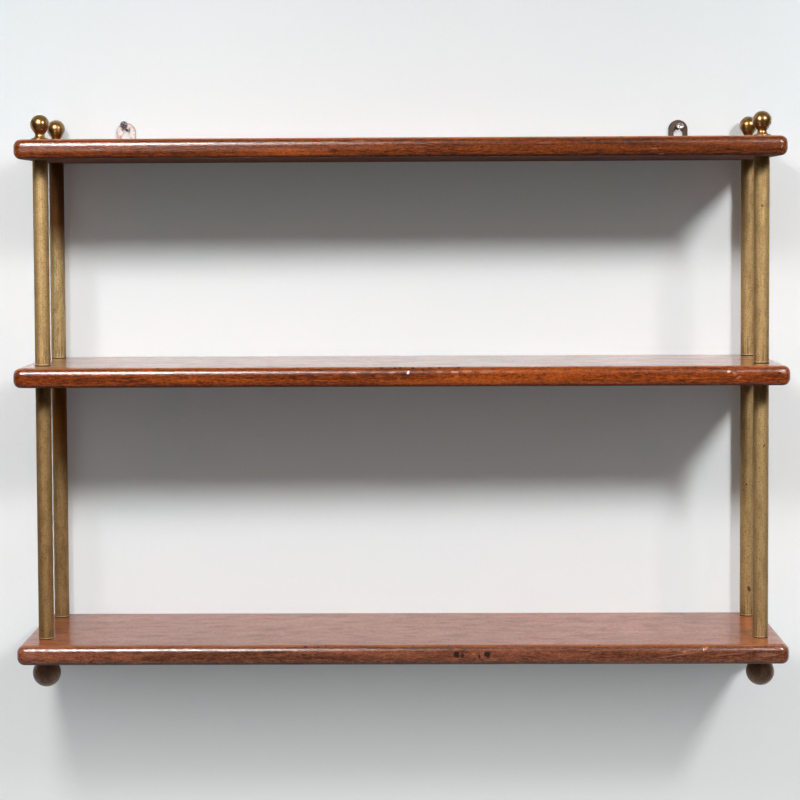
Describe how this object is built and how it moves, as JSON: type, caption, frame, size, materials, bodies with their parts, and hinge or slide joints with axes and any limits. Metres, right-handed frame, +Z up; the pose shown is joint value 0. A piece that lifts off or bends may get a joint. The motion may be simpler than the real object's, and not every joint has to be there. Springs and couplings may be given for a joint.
{
  "type": "hanging wall shelf",
  "caption": "Tiered hanging wall shelf with rounded wooden boards, brass tube posts, turned ball finials and feet, and keyhole hanging plates.",
  "frame": {"origin": "midway between the two wall holes of the hanging plates, on the plane of the wall", "axes": "+X along the wall to the right, -Y out from the wall towards the front edge, +Z up"},
  "size_m": [0.8, 0.18, 0.6018],
  "materials": {
    "shelf_mahogany": "French-polished mahogany, red-brown, with worn edges",
    "tube_brass": "satin, aged, with fine upright streaks",
    "finial_brass": "polished, aged",
    "rod_steel": "plain drawn rod",
    "foot_wood": "dark stained and waxed hardwood",
    "insert_brass": "turned",
    "plate_worn": "pale and worn, with remains of a white coat",
    "plate_bronzed": "dark brown patina",
    "screw_steel": "slotted, slightly dull"
  },
  "bodies": {
    "root": {"shelf_top": "shelf_mahogany", "shelf_middle": "shelf_mahogany", "shelf_bottom": "shelf_mahogany", "upper_tube_front_left": "tube_brass", "upper_tube_front_right": "tube_brass", "upper_tube_rear_left": "tube_brass", "upper_tube_rear_right": "tube_brass", "lower_tube_front_left": "tube_brass", "lower_tube_front_right": "tube_brass", "lower_tube_rear_left": "tube_brass", "lower_tube_rear_right": "tube_brass", "tie_rod_front_left": "rod_steel", "tie_rod_front_right": "rod_steel", "tie_rod_rear_left": "rod_steel", "tie_rod_rear_right": "rod_steel", "finial_front_left": "finial_brass", "finial_front_right": "finial_brass", "finial_rear_left": "finial_brass", "finial_rear_right": "finial_brass", "foot_front_left": "foot_wood", "foot_front_right": "foot_wood", "foot_rear_left": "foot_wood", "foot_rear_right": "foot_wood", "foot_insert_front_left": "insert_brass", "foot_insert_front_right": "insert_brass", "foot_insert_rear_left": "insert_brass", "foot_insert_rear_right": "insert_brass", "hanging_plate_left": "plate_worn", "hanging_plate_right": "plate_bronzed", "plate_screws_left": "screw_steel", "plate_screws_right": "screw_steel"}
  },
  "joints": []
}
